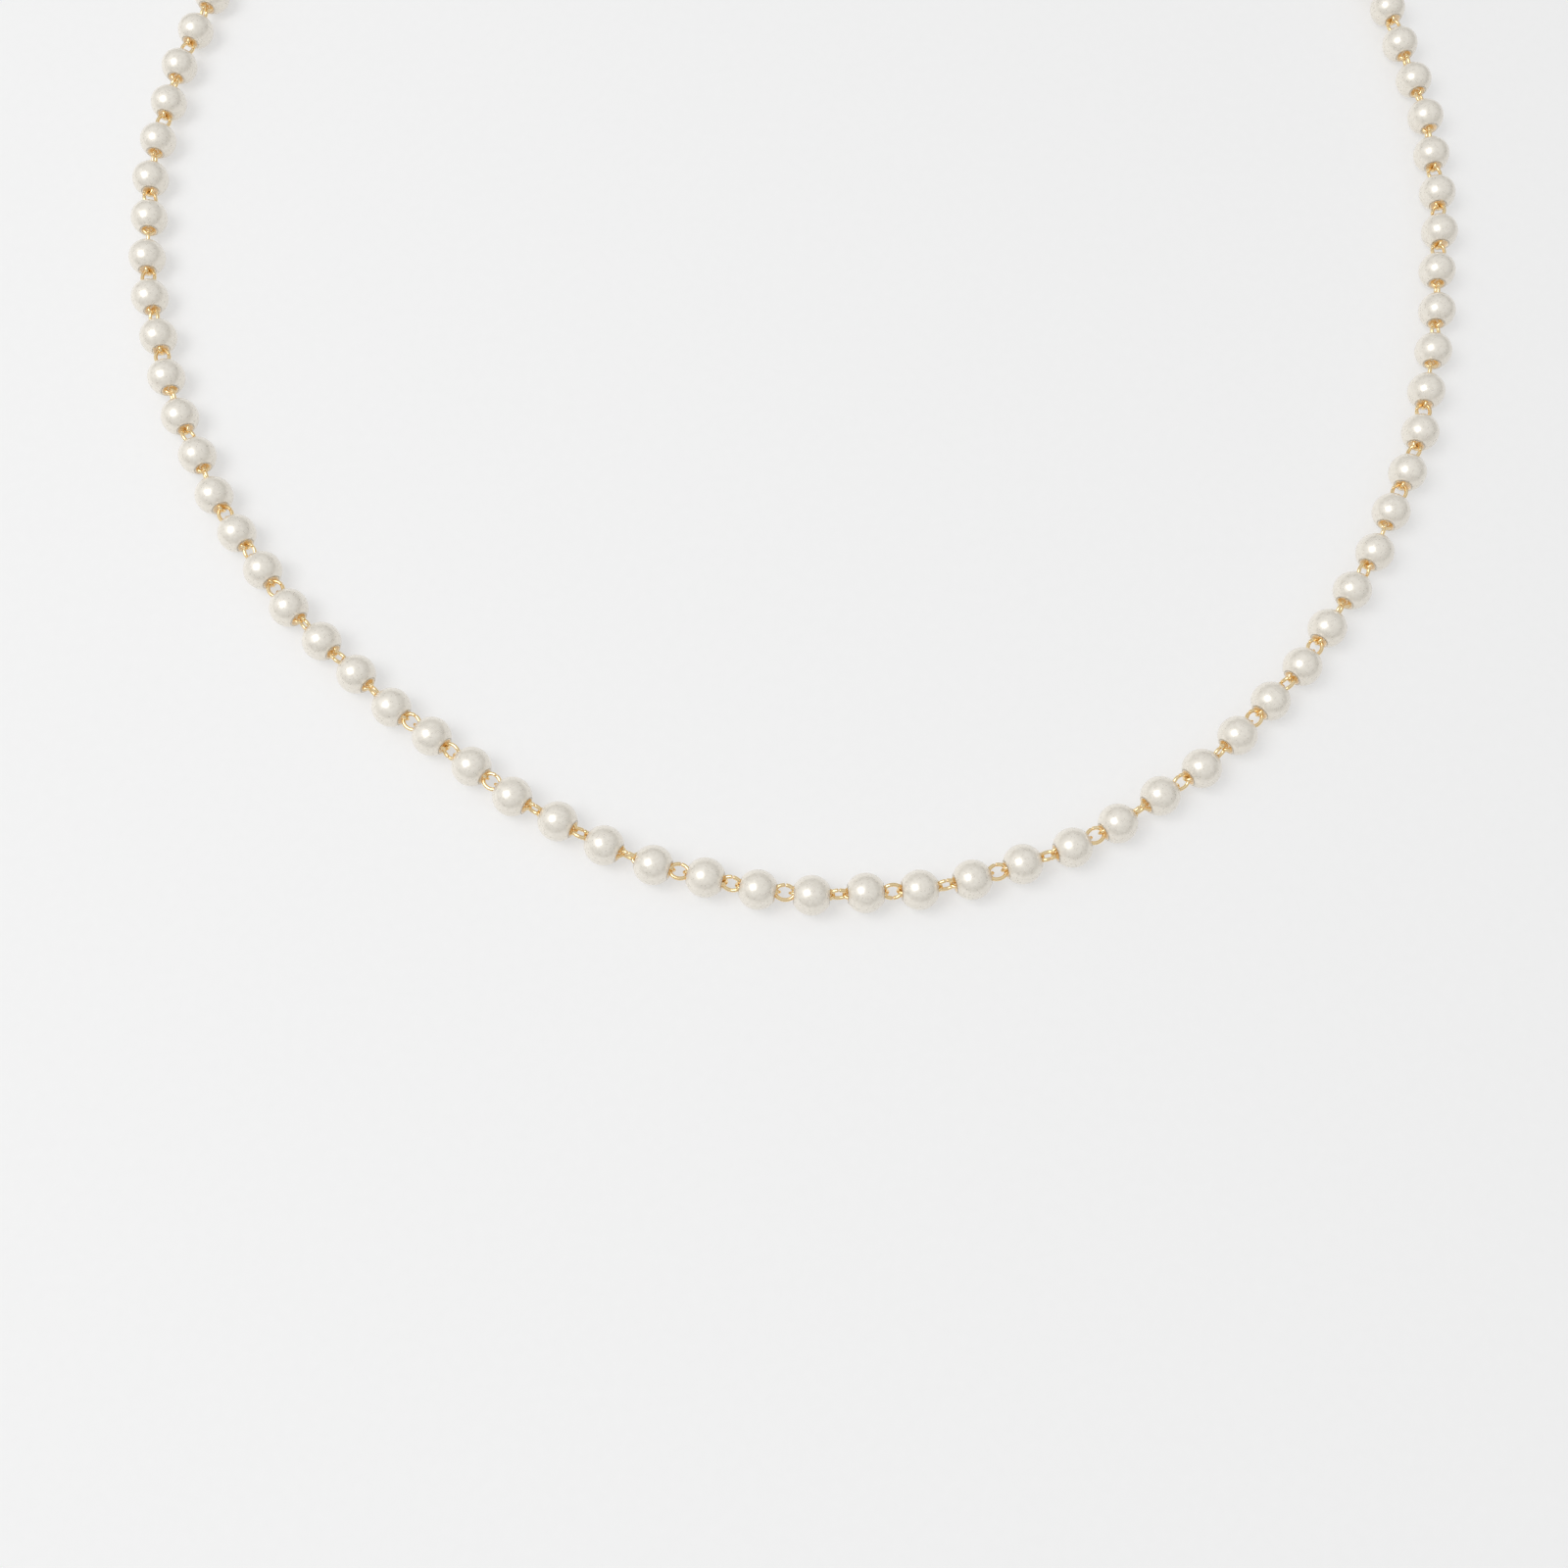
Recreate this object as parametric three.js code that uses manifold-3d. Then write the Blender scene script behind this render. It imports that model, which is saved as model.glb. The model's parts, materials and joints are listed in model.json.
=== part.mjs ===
// A pearl necklace of the rosary kind, lying open on a table: round imitation pearls, each on a wire eye
// pin, joined by small oval wire rings, with a lobster clasp at one end and a short extender chain with a
// pearl drop at the other. Millimetres, +Z up, z = 0 is the table, the origin is the outline's middle.
// The strand bends at every link_ring. Between two of them three pearls are one solid, the pearl_run.

import * as THREE from "three";
import { mergeVertices } from "three/addons/utils/BufferGeometryUtils.js";
import Module from "manifold-3d";

const wasm = await Module();
wasm.setup();

// ---- Driving dimensions ----

const pearlDiameter = 4.0;
const pearlGap = 1.65; // between the mouths of two neighbouring pearls
const pearlsPerRun = 3;
const runCount = 24;
const frontRun = 12; // the run at the front of the neck
const mouthWidth = 1.64; // of the hollow at each end of a pearl's bore, at its rim
const mouthTaper = 0.1; // how much narrower the hollow is at its floor, on each side
const mouthClearance = 0.12; // between a ring's tip and the floor of the mouth

const ringWire = 0.4; // wire diameter of an oval ring
const ringWidth = 1.85;
const ringSink = 0.325; // how far a ring's tip sits inside a pearl's mouth
const ringRoll = THREE.MathUtils.degToRad(45); // tilt of a free ring's plane about the strand
const innerRingRolls = [0.2, 1.3]; // of the two rings inside a run

const eyeWire = 0.36;
const eyeHole = 0.66; // bore of the small eye bent at each end of a pearl's pin
const wireGap = 0.05; // play between two linked wires

const hardwareWire = 0.6; // wire of the extender links and of the clasp's tail eye
const linkLength = 6.0;
const linkWidth = 4.0;
const linkCount = 5;

const claspThickness = 2.8;
const tailEyeWidth = 2.3;
const slotPlay = 0.15; // between the clasp's lever and each cheek of its slot
const leverThickness = 1.3;
const leverHubThickness = 0.7;
const leverHubRadius = 1.05;
const pinRadius = 0.35;
const pinFit = 0.05; // radial play of the pivot pin in the clasp's cheeks
const pinPlay = 0.1; // radial play of the lever on its pin
const springWire = 0.2;
const springRadius = 0.66; // mean radius of the torsion spring's coil
const springTurns = 2;
const springLeg = 0.5;

const dropWire = 0.4;
const dropEyeWidth = 2.0;
const dropPlay = 0.1; // between the drop's pearl and the head of its pin
const dropNeck = 0.3; // between the drop's eye and its pearl
const dropBore = 0.6;
const dropHeadWidth = 1.2;
const dropHeadThickness = 0.35;

const sway = 0.14; // how far a pearl lies off the smooth line of the strand
const swayStep = 2.2; // radians of sway from one pearl to the next

// The line the strand lies on, from the clasp's nose to the end of the drop, in plan.
// It is scaled to the strand's own length.
const layPoints = [
  [-53.4, 57.6],
  [-62.5, 35],
  [-69.6, 14.3],
  [-72.9, -6.5],
  [-70.9, -27],
  [-63.5, -46.5],
  [-51.7, -64],
  [-35.2, -78.7],
  [-16.3, -90],
  [4.2, -94.1],
  [25.5, -89.9],
  [43.2, -78.6],
  [56.7, -62.7],
  [66.4, -43.4],
  [70.9, -23.6],
  [72.2, -2],
  [68.3, 19.3],
  [61.3, 40],
  [52.5, 60],
  [44.5, 78],
  [38.2, 92.3],
];

// The clasp's shapes in plan: the tail eye's wire crosses the origin and the nose points along X.
const pivot = { x: 3.6, y: -0.75 };
const claspHole = { x: 7.3, length: 5.0, width: 3.0 };
const claspOutline = [
  [1.5, 0],
  [2.4, -1.4],
  [4.6, -2.2],
  [7.5, -2.9],
  [10.2, -2.2],
  [11.3, 0],
  [10.2, 2.2],
  [7.5, 2.9],
  [4.6, 2.3],
  [2.4, 1.4],
];
const claspMouth = [
  [4.9, -0.6],
  [4.4, -3.4],
  [8.6, -3.4],
  [8.75, -2.3],
  [9.45, -1.9],
  [9.3, -0.9],
  [7.3, -0.6],
];
const leverSlot = [
  [2.35, 0.6],
  [2.35, -3.4],
  [5.6, -3.4],
  [5.6, 0.6],
];
const leverArm = [
  [4.55, -0.75],
  [3.95, -1.75],
  [3.3, -2.5],
  [3.5, -3.2],
  [4.5, -3.3],
  [5.2, -2.75],
  [6.8, -2.85],
  [8.4, -2.7],
  [8.55, -2.15],
  [9.15, -1.75],
  [9.0, -1.3],
  [7.3, -1.5],
  [5.6, -1.25],
];

// ---- Sizes worked out from them ----

const pearlRadius = pearlDiameter / 2;
const pearlHalf = Math.sqrt(pearlRadius ** 2 - (mouthWidth / 2) ** 2); // centre to mouth
const pearlPitch = 2 * pearlHalf + pearlGap;
const pearlCount = runCount * pearlsPerRun;
const ringLength = pearlGap + 2 * ringSink;
const mouthFloor = pearlHalf - ringSink - mouthClearance; // from the pearl's centre

// How far wires stand from the centre of the pearl they hang on: a ring's near wire, then its pin's eye.
const ringBar = pearlHalf - ringSink + ringWire / 2;
const eyeBar = ringBar + (ringWire + eyeWire) / 2 + wireGap;
const eyeRadius = (eyeHole + eyeWire) / 2;

// An end pearl's centre to the hardware wire in its outer ring.
const ringReach = pearlPitch / 2 + (ringLength - 2 * ringWire - hardwareWire) / 2 - wireGap;

const claspLength = Math.max(...claspOutline.map(([x]) => x));
const linkPitch = linkLength - 2 * hardwareWire - wireGap;
const dropPearlAt = dropEyeWidth - dropWire + dropNeck + pearlHalf; // from the wire of the drop's eye
const dropLength = dropPearlAt + pearlHalf + dropPlay + dropHeadThickness;

const strandLength =
  claspLength +
  2 * ringReach +
  (pearlCount - 1) * pearlPitch +
  linkCount * linkPitch +
  dropLength;

// ---- Making solids ----

function toSolid(geometry) {
  const plain = geometry.clone();
  plain.deleteAttribute("normal");
  plain.deleteAttribute("uv");
  const merged = mergeVertices(plain, 1e-4);
  const mesh = new wasm.Mesh({
    numProp: 3,
    vertProperties: merged.attributes.position.array,
    triVerts: new Uint32Array(merged.index.array),
  });
  return new wasm.Manifold(mesh);
}

function toGeometry(solid) {
  const mesh = solid.getMesh();
  const geometry = new THREE.BufferGeometry();
  geometry.setAttribute("position", new THREE.BufferAttribute(mesh.vertProperties, mesh.numProp));
  geometry.setIndex(new THREE.BufferAttribute(mesh.triVerts, 1));
  geometry.computeVertexNormals();
  return geometry;
}

function joined(geometries) {
  const solids = geometries.map(toSolid);
  return toGeometry(solids.reduce((whole, piece) => whole.add(piece)));
}

function cut(geometry, tools) {
  const solids = tools.map(toSolid);
  return toGeometry(solids.reduce((whole, tool) => whole.subtract(tool), toSolid(geometry)));
}

// A plate between two heights, from an outline in plan.
function plate(shape, low, high) {
  const settings = { depth: high - low, bevelEnabled: false, curveSegments: 6 };
  return new THREE.ExtrudeGeometry(shape, settings).translate(0, 0, low);
}

function straightOutline(points) {
  return new THREE.Shape(points.map(([x, y]) => new THREE.Vector2(x, y)));
}

function smoothOutline(points, divisions) {
  const corners = points.map(([x, y]) => new THREE.Vector3(x, y, 0));
  const curve = new THREE.CatmullRomCurve3(corners, true);
  const steps = curve.getPoints(divisions).slice(1);
  return new THREE.Shape(steps.map((p) => new THREE.Vector2(p.x, p.y)));
}

// An upright cylinder between two heights, on the Z axis.
function upright(radius, low, high, sides = 10) {
  const cylinder = new THREE.CylinderGeometry(radius, radius, high - low, sides);
  return cylinder.rotateX(Math.PI / 2).translate(0, 0, (low + high) / 2);
}

// The same, lying on the X axis.
function lying(radius, start, end, sides = 10) {
  return upright(radius, start, end, sides).rotateY(Math.PI / 2);
}

// An oval wire ring in the XY plane, longest along X: a torus whose centre line is stretched along X.
function ovalRing(length, width, wire, sides, steps) {
  const ring = new THREE.TorusGeometry((width - wire) / 2, wire / 2, sides, steps);
  const stretch = (length - width) / 2;
  const position = ring.attributes.position;
  for (let i = 0; i < position.count; i += 1) {
    const angle = Math.atan2(position.getY(i), position.getX(i));
    position.setX(i, position.getX(i) + stretch * Math.cos(angle));
  }
  return ring;
}

// A round wire eye in the XY plane that starts at the origin's wire and reaches along X.
function wireEye(width, wire, sides, steps) {
  const radius = (width - wire) / 2;
  return new THREE.TorusGeometry(radius, wire / 2, sides, steps).translate(radius, 0, 0);
}

// ---- Pearls, eyes and rings, each along X with its centre at the origin ----

// One end of a pearl's outline, from the axis outwards: a drilled mouth is a shallow bowl, a plain one flat.
function mouthProfile(side, drilled) {
  const floor = new THREE.Vector2(0, side * (drilled ? mouthFloor : pearlHalf));
  const corner = new THREE.Vector2(mouthWidth / 2 - mouthTaper, side * mouthFloor);
  return drilled ? [floor, corner] : [floor];
}

function pearl(drilledStart, drilledEnd, sides = 8) {
  const bands = 4;
  const rim = Math.asin(mouthWidth / pearlDiameter);
  const ball = [];
  for (let i = 0; i <= bands; i += 1) {
    const angle = Math.PI - rim - (i * (Math.PI - 2 * rim)) / bands;
    ball.push(new THREE.Vector2(Math.sin(angle), Math.cos(angle)).multiplyScalar(pearlRadius));
  }
  const end = mouthProfile(1, drilledEnd).reverse();
  const profile = [...mouthProfile(-1, drilledStart), ...ball, ...end];
  return new THREE.LatheGeometry(profile, sides).rotateZ(-Math.PI / 2);
}

// The eye of a pearl's pin, standing out of the mouth at the pearl's +X end.
function pinEye() {
  const eye = new THREE.TorusGeometry(eyeRadius, eyeWire / 2, 4, 8);
  return eye.translate(eyeBar - eyeRadius, 0, 0);
}

function smallRing(steps) {
  return ovalRing(ringLength, ringWidth, ringWire, 4, steps);
}

// ---- Places along the strand ----

const up = new THREE.Vector3(0, 0, 1);

// The frame at a point: X along the strand, turned about it by roll.
function frameAt(point, along, roll = 0) {
  const x = along.clone().normalize();
  const y = up.clone().cross(x).normalize();
  const z = x.clone().cross(y);
  const frame = new THREE.Matrix4().makeBasis(x, y, z).setPosition(point);
  return frame.multiply(new THREE.Matrix4().makeRotationX(roll));
}

// The point a set distance from one point, heading for another in plan, with a set rise.
function reach(from, towards, distance, rise = 0) {
  const heading = new THREE.Vector3(towards.x - from.x, towards.y - from.y, 0).normalize();
  const level = Math.sqrt(distance * distance - rise * rise);
  return from.clone().addScaledVector(heading, level).setZ(from.z + rise);
}

function lineThrough(points) {
  const curve = new THREE.CatmullRomCurve3(points);
  curve.arcLengthDivisions = 2000;
  return curve;
}

const drawn = layPoints.map(([x, y]) => new THREE.Vector3(x, y, 0));
const layScale = strandLength / lineThrough(drawn).getLength();
const line = lineThrough(drawn.map((point) => point.multiplyScalar(layScale)));

function onLine(distance, height = 0) {
  return line.getPointAt(THREE.MathUtils.clamp(distance / strandLength, 0, 1)).setZ(height);
}

function sideways(distance) {
  const along = line.getTangentAt(distance / strandLength);
  return up.clone().cross(along);
}

// The pearls' centres, each one pitch from the last, lying a little to one side or the other of the line.
function pearlCentres() {
  const start = claspLength + ringReach;
  const points = [onLine(start, pearlRadius)];
  for (let i = 1; i < pearlCount; i += 1) {
    const distance = start + i * pearlPitch;
    const aim = onLine(distance, pearlRadius);
    aim.addScaledVector(sideways(distance), sway * Math.sin(swayStep * i));
    points.push(reach(points[i - 1], aim, pearlPitch));
  }
  return points;
}

const centres = pearlCentres();

// The free rings lean one way and the other in turn, counted from the front on both sides.
function freeRingRoll(run) {
  const fromFront = run < frontRun ? frontRun - 1 - run : run - frontRun;
  return fromFront % 2 === 0 ? ringRoll : -ringRoll;
}

const claspRingRoll = Math.PI / 2;
const extenderRingRoll = freeRingRoll(runCount);

// The wires that the strand's two end rings hold: the clasp's tail eye and the first extender link.
const linkHeight = ((linkWidth - hardwareWire) / 2) * Math.abs(Math.sin(ringRoll)) + hardwareWire / 2;
const linksStart = strandLength - dropLength;
const claspWire = reach(centres[0], onLine(0), ringReach, claspThickness / 2 - pearlRadius);
const extenderWire = reach(centres[pearlCount - 1], onLine(linksStart), ringReach, linkHeight - pearlRadius);

// The frame of the link after pearl i: its centre between the two pearls, X towards the next pearl.
function linkFrame(i, roll) {
  const along = centres[i + 1].clone().sub(centres[i]);
  const middle = centres[i].clone().add(centres[i + 1]).multiplyScalar(0.5);
  return frameAt(middle, along, roll);
}

// The frame of an end pearl's outer mouth: X from the pearl's centre to the hardware.
function endFrame(i, wire, roll) {
  return frameAt(centres[i], wire.clone().sub(centres[i]), roll);
}

// The frame of a pearl's mouth, X pointing out of it, rolled so that the eye is square to its ring.
function mouthFrame(i, side) {
  const square = Math.PI / 2;
  if (side < 0 && i === 0) return endFrame(i, claspWire, claspRingRoll + square);
  if (side > 0 && i === pearlCount - 1) return endFrame(i, extenderWire, extenderRingRoll + square);
  const run = Math.round((i + (side + 1) / 2) / pearlsPerRun);
  const along = centres[i + side].clone().sub(centres[i]);
  return frameAt(centres[i], along, side * freeRingRoll(run) + square);
}

// The frame of a pearl, X along its bore. A pearl at the end of its run looks straight at its neighbour.
function pearlFrame(i, first, last) {
  if (i === first) return mouthFrame(i, -1).multiply(new THREE.Matrix4().makeRotationZ(Math.PI));
  if (i === last) return mouthFrame(i, 1);
  return frameAt(centres[i], centres[i + 1].clone().sub(centres[i - 1]));
}

// ---- Materials and naming ----

const pearlLook = new THREE.MeshStandardMaterial({ color: 0xf0ebe0, roughness: 0.28, metalness: 0 });
const goldLook = new THREE.MeshStandardMaterial({ color: 0xe2b660, roughness: 0.22, metalness: 1 });
const steelLook = new THREE.MeshStandardMaterial({ color: 0xc8c9cc, roughness: 0.3, metalness: 1 });

const necklace = new THREE.Group();

function place(name, geometry, look, frame) {
  const mesh = new THREE.Mesh(geometry.applyMatrix4(frame), look);
  mesh.name = name;
  necklace.add(mesh);
}

function twoDigits(number) {
  return String(number).padStart(2, "0");
}

// ---- The strand ----

// Three pearls with their pins and the two rings between them. Only the outer mouths take a free ring.
function pearlRun(run) {
  const first = (run - 1) * pearlsPerRun;
  const last = first + pearlsPerRun - 1;
  const pieces = [pinEye().applyMatrix4(mouthFrame(first, -1))];
  for (let i = first; i <= last; i += 1) {
    pieces.push(pearl(i === first, i === last).applyMatrix4(pearlFrame(i, first, last)));
  }
  for (let i = first; i < last; i += 1) {
    const roll = innerRingRolls[i % innerRingRolls.length];
    pieces.push(smallRing(6).applyMatrix4(linkFrame(i, roll)));
  }
  pieces.push(pinEye().applyMatrix4(mouthFrame(last, 1)));
  return joined(pieces);
}

const asItIs = new THREE.Matrix4();

for (let run = 1; run <= runCount; run += 1) {
  place(`pearl_run_${twoDigits(run)}`, pearlRun(run), pearlLook, asItIs);
}

for (let run = 1; run < runCount; run += 1) {
  const frame = linkFrame(run * pearlsPerRun - 1, freeRingRoll(run));
  place(`link_ring_${twoDigits(run)}`, smallRing(12), goldLook, frame);
}

function endRing(name, i, wire, roll) {
  const ring = smallRing(12).translate(pearlPitch / 2, 0, 0);
  place(name, ring, goldLook, endFrame(i, wire, roll));
}

endRing("clasp_ring", 0, claspWire, claspRingRoll);
endRing("extender_ring", pearlCount - 1, extenderWire, extenderRingRoll);

// ---- The lobster clasp, flat in the XY plane ----

const throughClasp = claspThickness / 2 + 1; // a cutter's end, clear of the clasp's faces

function onPivot(geometry) {
  return geometry.translate(pivot.x, pivot.y, 0);
}

function claspBody() {
  const half = claspThickness / 2;
  const slotHalf = leverThickness / 2 + slotPlay;
  const shell = plate(smoothOutline(claspOutline, 20), -half, half);
  const hole = new THREE.Shape().absellipse(
    claspHole.x,
    0,
    claspHole.length / 2,
    claspHole.width / 2,
    0,
    2 * Math.PI,
  );
  return cut(joined([shell, wireEye(tailEyeWidth, hardwareWire, 6, 12)]), [
    plate(hole, -throughClasp, throughClasp),
    plate(straightOutline(claspMouth), -throughClasp, throughClasp),
    plate(straightOutline(leverSlot), -slotHalf, slotHalf),
    onPivot(upright(pinRadius + pinFit, -throughClasp, throughClasp)),
  ]);
}

// The lever: a thin hub on the pin, an arm that closes the mouth, and a thumb tab.
function claspLever() {
  const half = leverThickness / 2;
  const hubTop = leverHubThickness - half;
  const hub = onPivot(upright(leverHubRadius, -half, hubTop));
  const springRoom = onPivot(upright(leverHubRadius + 0.05, hubTop, throughClasp, 12));
  const bore = onPivot(upright(pinRadius + pinPlay, -throughClasp, throughClasp));
  return cut(joined([plate(straightOutline(leverArm), -half, half), hub]), [springRoom, bore]);
}

function claspPin() {
  return onPivot(upright(pinRadius, -claspThickness / 2, claspThickness / 2));
}

// The torsion spring's wire: a close coil round the pin, and a short straight leg at each end.
function claspSpring() {
  const coilPitch = springWire * 1.1;
  const bottom = leverHubThickness - leverThickness / 2 + (springWire + wireGap) / 2 + wireGap / 2;
  const stepsPerTurn = 7;
  const steps = stepsPerTurn * springTurns;
  const points = [new THREE.Vector3(springRadius, -springLeg, bottom)];
  for (let i = 0; i <= steps; i += 1) {
    const turn = (i / stepsPerTurn) * 2 * Math.PI;
    const height = bottom + (i / stepsPerTurn) * coilPitch;
    points.push(new THREE.Vector3(springRadius * Math.cos(turn), springRadius * Math.sin(turn), height));
  }
  points.push(new THREE.Vector3(springRadius, springLeg, bottom + springTurns * coilPitch));
  const wire = new THREE.Shape().absarc(0, 0, springWire / 2, 0, 2 * Math.PI);
  const settings = {
    steps: steps + 6,
    extrudePath: new THREE.CatmullRomCurve3(points),
    curveSegments: 2,
    bevelEnabled: false,
  };
  return onPivot(new THREE.ExtrudeGeometry(wire, settings));
}

const claspFrame = frameAt(claspWire, reach(claspWire, onLine(0), 1).sub(claspWire));
place("clasp_body", claspBody(), goldLook, claspFrame);
place("clasp_lever", claspLever(), goldLook, claspFrame);
place("clasp_pivot_pin", claspPin(), goldLook, claspFrame);
place("clasp_spring", claspSpring(), steelLook, claspFrame);

// ---- The extender chain and its drop ----

// Each link stands square to the one before it.
function linkRoll(link) {
  return extenderRingRoll + (link % 2) * (Math.PI / 2);
}

// The point where each link's near wire lies, then that of the drop's eye.
function extenderWires() {
  const wires = [extenderWire];
  for (let link = 1; link <= linkCount; link += 1) {
    const thinner = link < linkCount ? 0 : (hardwareWire - dropWire) / 2;
    const towards = onLine(linksStart - (linkCount - link) * linkPitch);
    wires.push(reach(wires[link - 1], towards, linkPitch + thinner));
  }
  return wires;
}

const wires = extenderWires();

function extenderLink() {
  const oval = ovalRing(linkLength, linkWidth, hardwareWire, 5, 14);
  return oval.translate((linkLength - hardwareWire) / 2, 0, 0);
}

for (let link = 1; link <= linkCount; link += 1) {
  const along = wires[link].clone().sub(wires[link - 1]);
  const frame = frameAt(wires[link - 1], along, linkRoll(link));
  place(`extender_link_${link}`, extenderLink(), goldLook, frame);
}

// The drop's pin: an eye, a stem through the pearl and a flat head.
function dropPin() {
  const headStart = dropPearlAt + pearlHalf + dropPlay;
  const stem = lying(dropWire / 2, dropEyeWidth - dropWire, headStart + dropHeadThickness / 2, 8);
  const head = lying(dropHeadWidth / 2, headStart, headStart + dropHeadThickness);
  return joined([wireEye(dropEyeWidth, dropWire, 5, 10), stem, head]);
}

function dropPearl() {
  const bore = lying(dropBore / 2, -pearlDiameter, pearlDiameter, 8);
  return cut(pearl(false, false, 12), [bore]).translate(dropPearlAt, 0, 0);
}

const dropWireAt = wires[linkCount];
const dropCentre = reach(dropWireAt, onLine(strandLength), dropPearlAt, pearlRadius - linkHeight);
const dropFrame = frameAt(dropWireAt, dropCentre.clone().sub(dropWireAt), linkRoll(linkCount + 1));
place("drop_pin", dropPin(), goldLook, dropFrame);
place("drop_pearl", dropPearl(), pearlLook, dropFrame);

// ---- The origin: the middle of the outline, on the table ----

const middle = new THREE.Box3().setFromObject(necklace).getCenter(new THREE.Vector3());
necklace.position.set(-middle.x, -middle.y, 0);

export default necklace;
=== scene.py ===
"""A pearl necklace of the rosary kind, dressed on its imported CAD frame.

Shapes are drawn in millimetres with X along the strand, and placed in metres on the frame's bodies.
"""

import json
import math
import random

import bpy
from mathutils import Matrix, Vector


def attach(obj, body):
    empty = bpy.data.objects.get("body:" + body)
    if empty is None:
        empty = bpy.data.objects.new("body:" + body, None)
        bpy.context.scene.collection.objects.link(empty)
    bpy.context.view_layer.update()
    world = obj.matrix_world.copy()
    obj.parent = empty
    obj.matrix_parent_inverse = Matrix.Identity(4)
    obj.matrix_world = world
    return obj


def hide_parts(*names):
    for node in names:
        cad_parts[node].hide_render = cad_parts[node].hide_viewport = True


MM = 0.001
UP = Vector((0, 0, 1))

# ---- Sizes, in millimetres, as in the CAD ----

PEARL_RADIUS = 2.0
MOUTH_RADIUS = 0.82
PEARL_HALF = math.sqrt(PEARL_RADIUS**2 - MOUTH_RADIUS**2)
PEARL_GAP = 1.65
PEARL_PITCH = 2 * PEARL_HALF + PEARL_GAP
PEARLS_PER_RUN = 3

# A drilled mouth: where the ball ends, and the lip and bowl as (x from the centre, radius).
MOUTH_RIM = math.radians(27)
MOUTH_SHOULDER = math.radians(148)
MOUTH_LIP = 0.14
MOUTH_WALL = (1.45, 0.74)
MOUTH_BOWL = [(1.5, 0.745), (1.3, 0.71), (1.12, 0.6), (1.0, 0.45), (0.95, 0.28)]

RING_WIRE = 0.4
RING_LENGTH = 2.3
RING_WIDTH = 1.85
RING_CUT = 0.05  # the hairline where a ring was closed

EYE_WIRE = 0.36
EYE_RADIUS = 0.51  # of the centre line of the eye at each end of a pearl's pin
EYE_START = math.radians(-148)  # where the eye leaves its stem
EYE_END = math.radians(152)
EYE_KINK = 1.1  # wires from the eye to the kink in its stem
WIRE_GAP = 0.05
CUT_DEPTH = 0.3  # a cut wire's end narrows over this share of its radius
CUT_WIDTH = 0.7  # and to this share of its width

# From a pearl's centre: its ring's inner bar, its eye's outer bar and its eye's centre.
RING_BAR = PEARL_PITCH / 2 - (RING_LENGTH - RING_WIRE) / 2
EYE_BAR = RING_BAR + RING_WIRE / 2 + WIRE_GAP + EYE_WIRE / 2
EYE_CENTRE = EYE_BAR - EYE_RADIUS

HARDWARE_WIRE = 0.6
EXTENDER_LENGTH = 6.0
EXTENDER_WIDTH = 4.0

CLASP_THICKNESS = 2.8
CLASP_EDGE = 0.55  # rounding of the clasp's edges
TAIL_EYE_WIDTH = 2.3
LEVER_THICKNESS = 1.3
LEVER_EDGE = 0.25
LEVER_PLAY = 0.15  # between the lever and each cheek of its slot
HUB_THICKNESS = 0.7
HUB_RADIUS = 1.05
HUB_EDGE = 0.06
HUB_PLAY = 0.05
PIN_RADIUS = 0.35
PIN_PLAY = 0.1
RIVET_PLAY = 0.02
RIVET_SUNK = 0.02
SPRING_WIRE = 0.2
SPRING_RADIUS = 0.66
SPRING_TURNS = 2
SPRING_PITCH = 1.1 * SPRING_WIRE
SPRING_PLAY = 0.05
SPRING_LEG = 0.5
TOOL_REACH = 2  # how far the cutting tools reach from the clasp's middle, past its faces

# The clasp in plan, from the wire that it hangs on: the outline of its body and of its lever.
CLASP_OUTSIDE = [
    (8.62, -2.72),
    (9.6, -2.42),
    (10.75, -1.5),
    (11.25, 0),
    (10.4, 1.95),
    (7.6, 2.85),
    (4.6, 2.25),
    (2.4, 1.3),
    (1.65, 0),
    (2.4, -1.35),
    (4.35, -2.1),
]
CLASP_INSIDE = [
    (4.82, -1.0),
    (4.85, 0.25),
    (5.7, 1.2),
    (7.4, 1.5),
    (9.1, 1.0),
    (9.8, 0),
    (9.5, -1.0),
    (9.46, -1.75),
    (8.82, -2.22),
]
LEVER_ARM = [
    (4.5, -0.85),
    (3.95, -1.7),
    (3.35, -2.5),
    (3.5, -3.15),
    (4.4, -3.25),
    (5.2, -2.75),
    (6.8, -2.8),
    (8.35, -2.65),
    (8.5, -2.15),
    (9.1, -1.78),
    (8.95, -1.35),
    (7.3, -1.5),
    (5.6, -1.25),
]
LEVER_SLOT = [(-1.25, -2.8), (2.0, -2.8), (2.0, 1.35), (-1.25, 1.35)]  # from the lever's pivot
RIVET_END = [(0, 0.55), (0.04, 0.85), (0.12, 1)]  # depth, and share of the pin's radius

DROP_WIRE = 0.4
DROP_EYE_WIDTH = 2.0
DROP_HEAD_RADIUS = 0.6
DROP_HEAD_THICKNESS = 0.35
DROP_HEAD_DOME = [(0, 0.9), (1 / 7, 1), (0.5, 0.96), (0.8, 0.7), (1, 0.3)]  # shares of its sizes
DROP_PLAY = 0.1
DROP_BORE_RADIUS = 0.3
DROP_SHOULDER = (1.7, 1.05)  # where the drop's pearl starts to flatten, as (x, radius)
DROP_LIP = 0.15
DROP_BORE_EDGE = 0.08

# The rings inside the runs lie by turns open to the view and nearly on edge, give or take a bit.
OPEN_ROLL = 12
EDGE_ROLL = 82
ROLL_SPREAD = 10

# ---- Colours, and grain in noise waves to the metre ----

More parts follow.
